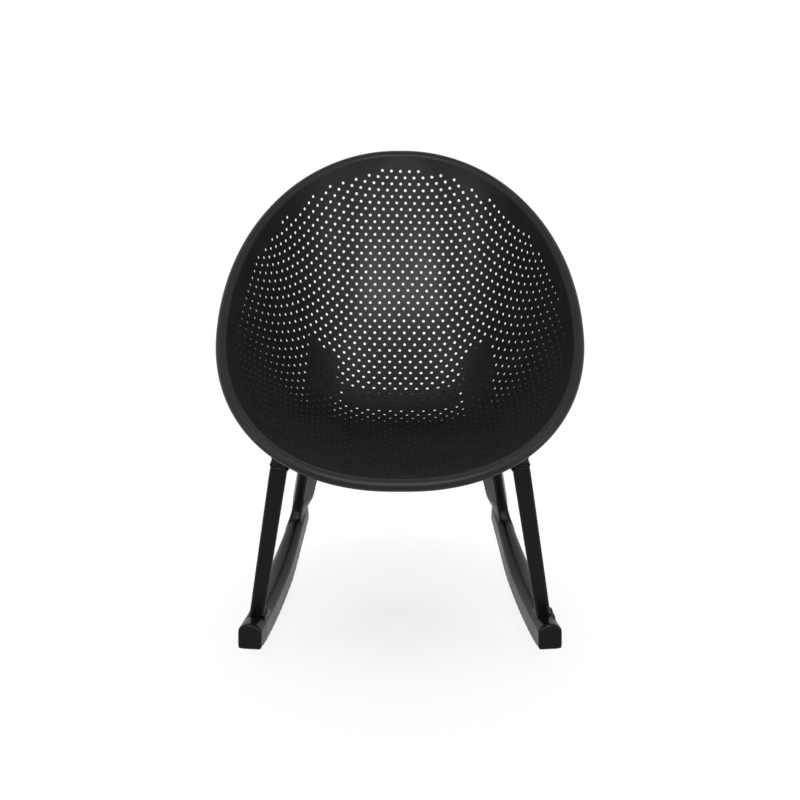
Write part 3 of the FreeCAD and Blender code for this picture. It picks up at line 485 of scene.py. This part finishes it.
@dataclass
class SeatShell:
    """The perforated bucket with its rolled lip."""

    bowl: Bowl = field(default_factory=Bowl)
    pattern: HolePattern = field(default_factory=HolePattern)
    spokes: int = 288
    lip_steps: int = 14
    edge_steps: int = 4
    border_rings: tuple[float, ...] = (5.0, 12.0)

    def build(self, material: bpy.types.Material) -> bpy.types.Object:
        """Make the perforated shell as one piece.

        Args:
            material: Its finish.

        Returns:
            The finished piece, which stands for the CAD shell.
        """
        bowl, pattern = self.bowl, self.pattern
        holes, plain = pattern.centres(bowl)
        log.info("holes in the shell: %d", len(holes))
        angles = np.arange(self.spokes) * (2 * math.pi / self.spokes)
        reach = bowl.wall_end(angles)
        edge = np.stack(bowl.at(angles, reach), axis=1)
        steep = np.sqrt(1 + np.square(bowl.slope(*edge.T)).sum(axis=0))
        border = [np.stack(bowl.at(angles, reach - gap / steep), axis=1) for gap in self.border_rings]
        sides = pattern.hole_sides
        wide, narrow, flared = (
            np.concatenate([bowl.ring(u, w, pattern.hole_radius + extra, sides) for u, w in holes])
            for extra in (pattern.edge_round, 0.0, pattern.back_flare)
        )
        places = np.concatenate([edge, wide, *border, plain])
        first_hole = self.spokes
        loops = [(number, (number + 1) % self.spokes) for number in range(self.spokes)]
        for number in range(len(holes)):
            start = first_hole + number * sides
            loops += [(start + side, start + (side + 1) % sides) for side in range(sides)]
        flat = [Vector((float(u), float(w))) for u, w in places]
        made, _, triangles, sources, _, _ = delaunay_2d_cdt(flat, loops, [], 1, 1e-4)
        source = [group[0] for group in sources]
        owner = np.full(len(places), -1)
        owner[first_hole:first_hole + len(wide)] = np.repeat(np.arange(len(holes)), sides)
        seat = []
        for triangle in triangles:
            corners = [source[corner] for corner in triangle]
            owners = {int(owner[corner]) for corner in corners}
            if len(owners) > 1 or -1 in owners:
                seat.append(corners)
        seat = np.array(seat)
        a, b, c = (places[seat[:, corner]] for corner in range(3))
        turn = (b - a)[:, 0] * (c - a)[:, 1] - (b - a)[:, 1] * (c - a)[:, 0]
        seat[turn > 0] = seat[turn > 0][:, ::-1]

        points, normals, faces = [], [], []

        def add(block: np.ndarray, block_normals: np.ndarray) -> int:
            """Append points with their normals.

            Args:
                block: The points, one row each.
                block_normals: Their normals.

            Returns:
                Number of the first point.
            """
            start = sum(len(part) for part in points)
            points.append(block)
            normals.append(block_normals)
            return start

        through = bowl.normal(*places.T)
        top = add(bowl.skin(*places.T), -through)
        under_places = places.copy()
        under_places[first_hole:first_hole + len(wide)] = flared
        under = add(bowl.skin(*under_places.T, bowl.wall), bowl.normal(*under_places.T))
        centre = bowl.skin(*np.repeat(holes, sides, axis=0).T)
        ring_top = bowl.skin(*narrow.T, pattern.edge_round)
        inward = centre - bowl.skin(*narrow.T)
        inward /= np.linalg.norm(inward, axis=1, keepdims=True)
        bore = add(ring_top, inward)
        bore_end = add(bowl.skin(*flared.T, bowl.wall), inward)

        faces += (seat + top).tolist()
        faces += (seat[:, ::-1] + under).tolist()
        around = np.arange(len(wide)).reshape(-1, sides)
        following = np.roll(around, -1, axis=1)
        one, two = around.ravel(), following.ravel()
        rim_ring = top + first_hole
        faces += np.stack([rim_ring + one, rim_ring + two, bore + two, bore + one], axis=1).tolist()
        faces += np.stack([bore + one, bore + two, bore_end + two, bore_end + one], axis=1).tolist()

        self._lip(add, faces, edge, top, under)
        vertices = np.concatenate(points)
        every_normal = np.concatenate(normals)
        # A bore's lower ring is a copy of the back skin's, so the two become one once the normals are kept
        merged = np.arange(len(vertices))
        merged[bore_end:bore_end + len(narrow)] = under + first_hole + np.arange(len(narrow))
        corner_normals = [every_normal[corner] for face in faces for corner in face]
        flat_corners = [merged[corner] for face in faces for corner in face]
        used, renumbered = np.unique(flat_corners, return_inverse=True)
        corners = iter(renumbered.tolist())
        faces = [[next(corners) for _ in face] for face in faces]
        piece = mesh_piece("seat_bucket", vertices[used], faces, material)
        for polygon in piece.data.polygons:
            polygon.use_smooth = True
        piece.data.normals_split_custom_set([normal.tolist() for normal in corner_normals])
        log.info("triangles in the shell: %d", sum(len(face) - 2 for face in faces))
        return piece

    def _lip(
        self,
        add: Callable[[np.ndarray, np.ndarray], int],
        faces: list[list[int]],
        edge: np.ndarray,
        top: int,
        under: int,
    ) -> None:
        """Roll the lip over from the seat side to the back.

        Args:
            add: Function that appends points with their normals.
            faces: Faces so far, appended to.
            edge: Rim-plane places of the wall's end.
            top: Number of the first point of the seat side.
            under: Number of the first point of the back.
        """
        bowl = self.bowl
        u, w = edge.T
        along, across = bowl.slope(u, w)
        steepness = np.arctan(np.hypot(along, across))
        outward = -along[:, None] * bowl.along - across[:, None] * bowl.across
        outward /= np.linalg.norm(outward, axis=1, keepdims=True)
        middle = bowl.skin(u, w, bowl.lip_radius)
        half = bowl.wall / 2
        neutral = bowl.lip_radius - half
        last = bowl.lip_turn - half / neutral

        def direction(turned: np.ndarray) -> np.ndarray:
            """Unit direction from the lip's own centre line at an angle from the rim plane's up."""
            return outward * np.sin(turned)[:, None] - bowl.down * np.cos(turned)[:, None]

        rings = [top + np.arange(self.spokes)]
        for step in range(1, self.lip_steps + 1):
            ray = direction(-steepness + (last + steepness) * step / self.lip_steps)
            start = add(middle + ray * bowl.lip_radius, ray)
            rings.append(start + np.arange(self.spokes))
        end = np.full(self.spokes, last)
        ray, onward = direction(end), direction(end + math.pi / 2)
        for step in range(1, self.edge_steps):
            angle = math.pi * step / self.edge_steps
            normal = ray * math.cos(angle) + onward * math.sin(angle)
            start = add(middle + ray * neutral + normal * half, normal)
            rings.append(start + np.arange(self.spokes))
        for step in range(self.lip_steps, 0, -1):
            ray = direction(-steepness + (last + steepness) * step / self.lip_steps)
            start = add(middle + ray * (bowl.lip_radius - bowl.wall), -ray)
            rings.append(start + np.arange(self.spokes))
        rings.append(under + np.arange(self.spokes))
        for near, far in zip(rings, rings[1:]):
            next_near, next_far = np.roll(near, -1), np.roll(far, -1)
            faces += np.stack([near, far, next_far, next_near], axis=1).tolist()


@dataclass
class SideFrame:
    """Where a side frame stands. Millimetres.

    Its own axes run inward and back from the rocker's lowest point.
    """

    side: Side
    track_half: float = 242.4
    contact_y: float = 32.5
    toe: float = math.radians(5.3)

    def to_chair(self, inward: float, back: float) -> tuple[float, float]:
        """Turn a place in the side frame's own plan into chair coordinates.

        Args:
            inward: How far in from the rocker.
            back: How far back from its lowest point.

        Returns:
            X and Y on the chair.
        """
        reach = inward * math.cos(self.toe) + back * math.sin(self.toe)
        return (
            (self.track_half - reach) * self.side.value,
            self.contact_y - inward * math.sin(self.toe) + back * math.cos(self.toe),
        )


@dataclass
class Boss:
    """Block under the shell that a leg top bolts to, round at its upright edges. Millimetres."""

    bowl: Bowl
    frame: SideFrame
    low_x: float
    high_x: float
    low_y: float
    high_y: float
    bottom: float
    corner: float = 5.5
    cuts: int = 9
    # The search for the shell over a place: its first guess, its steps and how much of the miss each mends
    first_guess: float = 0.9
    search_steps: int = 60
    search_share: float = 0.6

    def _top(self, x: float, y: float) -> float:
        """Height of the middle of the shell's wall over a place in plan.

        Args:
            x: X of the place.
            y: Y of the place.

        Returns:
            The height.
        """
        bowl = self.bowl
        u, w = (y - bowl.rim_front_y) / math.cos(bowl.rim_tilt) * self.first_guess, x
        for _ in range(self.search_steps):
            place = bowl.skin(np.float64(u), np.float64(w), bowl.wall / 2)
            u += self.search_share * (y - place[1])
            w += self.search_share * (x - place[0])
        return float(place[2])

    def build(self, name: str, material: bpy.types.Material) -> bpy.types.Object:
        """Cut a block to the shell's underside.

        Args:
            name: Name of the piece.
            material: Its finish.

        Returns:
            The finished block.
        """
        bpy.ops.object.select_all(action="DESELECT")
        bpy.ops.mesh.primitive_cube_add(size=2)
        block = bpy.context.active_object
        block.name = name
        bpy.ops.object.mode_set(mode="EDIT")
        bpy.ops.mesh.select_all(action="SELECT")
        bpy.ops.mesh.subdivide(number_cuts=self.cuts)
        bpy.ops.object.mode_set(mode="OBJECT")
        half_x, half_y = (self.high_x - self.low_x) / 2, (self.high_y - self.low_y) / 2
        middle_x, middle_y = (self.high_x + self.low_x) / 2, (self.high_y + self.low_y) / 2
        for vertex in block.data.vertices:
            x, y = vertex.co.x * half_x, vertex.co.y * half_y
            over_x, over_y = abs(x) - (half_x - self.corner), abs(y) - (half_y - self.corner)
            if over_x > 0 and over_y > 0:
                shrink = max(over_x, over_y) / math.hypot(over_x, over_y)
                x = math.copysign(half_x - self.corner + over_x * shrink, x)
                y = math.copysign(half_y - self.corner + over_y * shrink, y)
            place = self.frame.to_chair(middle_x + x, middle_y + y)
            share = (vertex.co.z + 1) / 2
            height = self.bottom + (self._top(*place) - self.bottom) * share
            vertex.co = Vector((*place, height)) * MM
        finish_mesh(block, material)
        return block


@dataclass
class Moulding:
    """A frame moulding with the soft edges and filled corners that its mould leaves. Metres."""

    node: str
    merge_distance: float = 0.00001
    voxel: float = 0.0022
    smooth_factor: float = 0.5
    smoothing: int = 6
    # Y and Z ranges in which the moulding is rounder, and how much rounder
    soft_spots: tuple[tuple[float, float, float, float], ...] = ()
    soft_smoothing: int = 22
    fade: float = 0.02
    # The side it stands on, where its rear narrows
    side: Side | None = None
    half_width: float = 0.022
    rear_narrowing: float = 0.0045
    rear_taper: tuple[float, float] = (0.0, 0.2)
    taper_top: tuple[float, float] = (0.06, 0.09)

    def build(self, name: str, material: bpy.types.Material) -> bpy.types.Object:
        """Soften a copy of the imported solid.

        Args:
            name: Name of the piece.
            material: Its finish.

        Returns:
            The finished moulding.
        """
        bpy.ops.object.select_all(action="DESELECT")
        mesh = frame["nodes"][self.node].data.copy()
        mesh.name = name
        piece = bpy.data.objects.new(name, mesh)
        bpy.context.scene.collection.objects.link(piece)
        bpy.context.view_layer.objects.active = piece
        piece.select_set(True)
        bpy.ops.object.mode_set(mode="EDIT")
        bpy.ops.mesh.select_all(action="SELECT")
        bpy.ops.mesh.remove_doubles(threshold=self.merge_distance)
        bpy.ops.object.mode_set(mode="OBJECT")
        remesh = piece.modifiers.new("moulded_skin", "REMESH")
        remesh.mode = "VOXEL"
        remesh.voxel_size = self.voxel
        soften = piece.modifiers.new("soft_edges", "SMOOTH")
        soften.factor = self.smooth_factor
        soften.iterations = self.smoothing
        for modifier in list(piece.modifiers):
            bpy.ops.object.modifier_apply(modifier=modifier.name)
        if self.side is not None:
            self._taper_rear(piece)
        if self.soft_spots:
            self._round_spots(piece)
        mesh = piece.data
        mesh.materials.clear()
        mesh.materials.append(material)
        for polygon in mesh.polygons:
            polygon.use_smooth = True
        log.info("softened %s: %d faces", name, len(mesh.polygons))
        return piece

    def _taper_rear(self, piece: bpy.types.Object) -> None:
        """Narrow the rocker towards the rear leg, which it runs into.

        Args:
            piece: The rocker's moulding.
        """
        mesh = piece.data
        places = np.empty(len(mesh.vertices) * 3, np.float32)
        mesh.vertices.foreach_get("co", places)
        places = places.reshape(-1, 3)
        stand = SideFrame(self.side)
        behind = places[:, 1] - stand.contact_y * MM
        centre = self.side.value * (stand.track_half * MM - behind * math.tan(stand.toe))
        start, end = self.rear_taper
        low, high = self.taper_top
        back = np.clip((places[:, 1] - start) / (end - start), 0, 1)
        below = np.clip((high - places[:, 2]) / (high - low), 0, 1)
        share = back ** 2 * (3 - 2 * back) * below ** 2 * (3 - 2 * below)
        outward = np.clip((places[:, 0] - centre) / self.half_width, -1, 1)
        places[:, 0] -= outward * self.rear_narrowing * share
        mesh.vertices.foreach_set("co", places.ravel())
        mesh.update()

    def _round_spots(self, piece: bpy.types.Object) -> None:
        """Round the piece further in its soft spots.

        Args:
            piece: The moulding.
        """
        group = piece.vertex_groups.new(name="soft_spots")
        for vertex in piece.data.vertices:
            _, y, z = vertex.co
            share = max(
                min(min(y - low_y, high_y - y, z - low_z, high_z - z) / self.fade, 1.0)
                for low_y, high_y, low_z, high_z in self.soft_spots
            )
            if share > 0:
                group.add([vertex.index], share, "REPLACE")
        soften = piece.modifiers.new("fuller_corners", "SMOOTH")
        soften.factor = self.smooth_factor
        soften.iterations = self.soft_smoothing
        soften.vertex_group = group.name
        bpy.ops.object.modifier_apply(modifier=soften.name)
        piece.vertex_groups.clear()


def finish_mesh(piece: bpy.types.Object, material: bpy.types.Material, crease: float = 35.0) -> None:
    """Turn a piece's faces outward, shade it smooth but for its edges and give it its finish.

    Args:
        piece: The piece.
        material: Its finish.
        crease: Angle in degrees past which an edge stays sharp.
    """
    bpy.context.view_layer.objects.active = piece
    piece.select_set(True)
    bpy.ops.object.mode_set(mode="EDIT")
    bpy.ops.mesh.select_all(action="SELECT")
    bpy.ops.mesh.normals_make_consistent(inside=False)
    bpy.ops.object.mode_set(mode="OBJECT")
    bpy.ops.object.shade_smooth_by_angle(angle=math.radians(crease))
    piece.data.materials.clear()
    piece.data.materials.append(material)


@dataclass
class Studio:
    """White sweep of floor, the soft lamps and the camera. Metres and degrees."""

    aim: tuple[float, float, float] = (0.0, -0.0392, 0.428)
    distance: float = 2.2
    pitch: float = 22.0
    lens: float = 52.47
    floor_size: float = 80.0
    floor_grey: float = 0.82
    # The shadow shows whole near this place and fades to plain white between these distances
    shadow_place: tuple[float, float, float] = (0.0, -0.14, 0.0)
    shadow_reach: tuple[float, float] = (0.06, 0.38)
    least_glow: float = 0.66
    lamp_aim: tuple[float, float, float] = (0.0, 0.0, 0.45)
    world_strength: float = 0.25

    def camera(self) -> None:
        """Stand the camera where the photograph was taken from."""
        data = bpy.data.cameras.new("camera")
        data.sensor_width = 36.0
        data.lens = self.lens
        data.clip_end = 100.0
        camera = bpy.data.objects.new("camera", data)
        bpy.context.scene.collection.objects.link(camera)
        pitch = math.radians(self.pitch)
        back = Vector((0, -math.cos(pitch), math.sin(pitch))) * self.distance
        camera.location = Vector(self.aim) + back
        camera.rotation_euler = (math.pi / 2 - pitch, 0, 0)
        bpy.context.scene.camera = camera

    def floor(self) -> None:
        """Lay a pale floor that shows white and keeps the chair's shadow."""
        bpy.ops.mesh.primitive_plane_add(size=self.floor_size)
        floor = bpy.context.active_object
        floor.name = "studio_floor"
        material, tree, output = new_material("floor_white")
        nodes, links = tree.nodes, tree.links
        matt = nodes.new("ShaderNodeBsdfDiffuse")
        matt.inputs["Color"].default_value = (self.floor_grey, self.floor_grey, self.floor_grey, 1)
        glow = nodes.new("ShaderNodeEmission")
        glow.inputs["Strength"].default_value = 1.0
        mixed = nodes.new("ShaderNodeMixShader")
        links.new(matt.outputs["BSDF"], mixed.inputs[1])
        links.new(glow.outputs["Emission"], mixed.inputs[2])
        place = nodes.new("ShaderNodeTexCoord")
        length = nodes.new("ShaderNodeVectorMath")
        length.operation = "DISTANCE"
        length.inputs[1].default_value = self.shadow_place
        links.new(place.outputs["Object"], length.inputs[0])
        spread = nodes.new("ShaderNodeMapRange")
        spread.inputs["From Min"].default_value = self.shadow_reach[0]
        spread.inputs["From Max"].default_value = self.shadow_reach[1]
        spread.inputs["To Min"].default_value = self.least_glow
        spread.inputs["To Max"].default_value = 1.0
        links.new(length.outputs["Value"], spread.inputs["Value"])
        product = nodes.new("ShaderNodeMath")
        product.operation = "MULTIPLY"
        links.new(spread.outputs["Result"], product.inputs[0])
        links.new(seen_directly(tree), product.inputs[1])
        links.new(product.outputs["Value"], mixed.inputs[0])
        links.new(mixed.outputs["Shader"], output.inputs["Surface"])
        floor.data.materials.append(material)

    def lamps(self) -> None:
        """Hang soft lamps in pairs above the camera, at the sides and overhead, and a weak one behind."""
        pairs = (
            ("key", (0.6, -2.1, 1.9), (0.8, 0.7), 27.0),
            ("side", (2.2, -1.2, 1.0), (0.6, 1.0), 11.0),
            ("over", (0.9, -0.5, 2.3), (0.5, 0.5), 5.0),
        )
        lamps = [("behind", (0.0, 2.4, 2.2), (1.6, 0.8), 4.0)]
        for name, (x, y, z), size, power in pairs:
            for side in Side:
                lamps.append((f"{name}_{side.name.lower()}", (side.value * x, y, z), size, power))
        for name, place, size, power in lamps:
            data = bpy.data.lights.new(name, "AREA")
            data.shape = "RECTANGLE"
            data.size, data.size_y = size
            data.energy = power
            lamp = bpy.data.objects.new(name, data)
            bpy.context.scene.collection.objects.link(lamp)
            lamp.location = place
            towards = Vector(self.lamp_aim) - Vector(place)
            lamp.rotation_euler = towards.to_track_quat("-Z", "Y").to_euler()

    def world(self) -> None:
        """Light the room evenly and show it white."""
        world = bpy.data.worlds.new("studio_air")
        bpy.context.scene.world = world
        world.use_nodes = True
        tree = world.node_tree
        tree.nodes.clear()
        output = tree.nodes.new("ShaderNodeOutputWorld")
        dim = tree.nodes.new("ShaderNodeBackground")
        dim.inputs["Strength"].default_value = self.world_strength
        dim.inputs["Color"].default_value = (1, 1, 1, 1)
        white = tree.nodes.new("ShaderNodeBackground")
        white.inputs["Strength"].default_value = 1.0
        white.inputs["Color"].default_value = (1, 1, 1, 1)
        mixed = tree.nodes.new("ShaderNodeMixShader")
        tree.links.new(seen_directly(tree), mixed.inputs[0])
        tree.links.new(dim.outputs[0], mixed.inputs[1])
        tree.links.new(white.outputs[0], mixed.inputs[2])
        tree.links.new(mixed.outputs[0], output.inputs["Surface"])

    def build(self) -> None:
        """Set up all of the studio."""
        self.camera()
        self.floor()
        self.lamps()
        self.world()
        bpy.context.scene.view_settings.view_transform = "Standard"


def seen_directly(tree: bpy.types.NodeTree) -> bpy.types.NodeSocket:
    """Output that is 1 for camera, glossy and transmission rays.

    Args:
        tree: Node tree to add the nodes to.

    Returns:
        The socket that holds the sum.
    """
    rays = tree.nodes.new("ShaderNodeLightPath")
    total = rays.outputs["Is Camera Ray"]
    for name in ("Is Glossy Ray", "Is Transmission Ray"):
        more = tree.nodes.new("ShaderNodeMath")
        more.operation = "MAXIMUM"
        tree.links.new(total, more.inputs[0])
        tree.links.new(rays.outputs[name], more.inputs[1])
        total = more.outputs["Value"]
    return total


# Where each end's boss lies in its side frame: inward from and to, back from and to, and its underside
BOSSES = {
    "front": (42.9, 72.7, -272.7, -192.3, 384.0),
    "rear": (45.5, 102.5, 90.0, 149.0, 381.5),
}

# Lowest and highest Y, then Z, of the rockers' two ends and of the front legs' tops
ROCKER_ENDS = ((-1.0, -0.262, -1.0, 1.0), (0.21, 1.0, -1.0, 0.08))
LEG_TOPS = ((-1.0, 1.0, 0.36, 1.0),)

MOULDINGS = (
    Moulding("left_rocker", soft_spots=ROCKER_ENDS, side=Side.LEFT),
    Moulding("right_rocker", soft_spots=ROCKER_ENDS, side=Side.RIGHT),
    Moulding("left_front_leg", voxel=0.0018, smoothing=3, soft_spots=LEG_TOPS, soft_smoothing=16),
    Moulding("right_front_leg", voxel=0.0018, smoothing=3, soft_spots=LEG_TOPS, soft_smoothing=16),
    Moulding("front_cross_rail", voxel=0.0016, smoothing=4),
    Moulding("rear_cross_rail", voxel=0.0016, smoothing=4),
)

CAD_FINISHES = {
    Slot.SOLE: ("left_rocker_sole", "right_rocker_sole"),
    Slot.STEEL: (
        "front_leg_bolts", "rear_leg_bolts", "front_leg_bolt_washers", "rear_leg_bolt_washers",
        "front_leg_plug_screws", "front_leg_plug_washers",
    ),
    Slot.BRASS: ("front_shell_inserts", "rear_shell_inserts"),
}


def dress(node: str, material: bpy.types.Material) -> None:
    """Give a carried-over CAD node its finish.

    Args:
        node: Name of the node.
        material: Its finish.
    """
    piece = frame["nodes"][node]
    if not piece.material_slots:
        piece.data.materials.append(material)
    for slot in piece.material_slots:
        slot.material = material
    log.info("dressed %s in %s", node, material.name)


def main() -> None:
    """Build the studio, then the chair piece by piece."""
    logging.basicConfig(level=logging.INFO, format="%(message)s")
    Studio().build()
    log.info("studio ready")
    bpy.ops.object.select_all(action="DESELECT")
    materials = {slot: finish.make() for slot, finish in FINISHES.items()}
    shell = SeatShell()
    piece = shell.build(materials[Slot.SHELL])
    own(piece, Slot.SHELL, "seat_shell")
    log.info("built %s", piece.name)
    for side in Side:
        for end, sizes in BOSSES.items():
            boss = Boss(shell.bowl, SideFrame(side), *sizes)
            piece = boss.build(f"shell_boss_{end}_{side.name.lower()}", materials[Slot.SHELL])
            own(piece, Slot.SHELL, "seat_shell")
            log.info("built %s", piece.name)
    for moulding in MOULDINGS:
        piece = moulding.build(f"{moulding.node}_moulding", materials[Slot.FRAME])
        own(piece, Slot.FRAME, moulding.node)
    for slot, nodes in CAD_FINISHES.items():
        for node in nodes:
            dress(node, materials[slot])


if __name__ == "__main__":
    main()
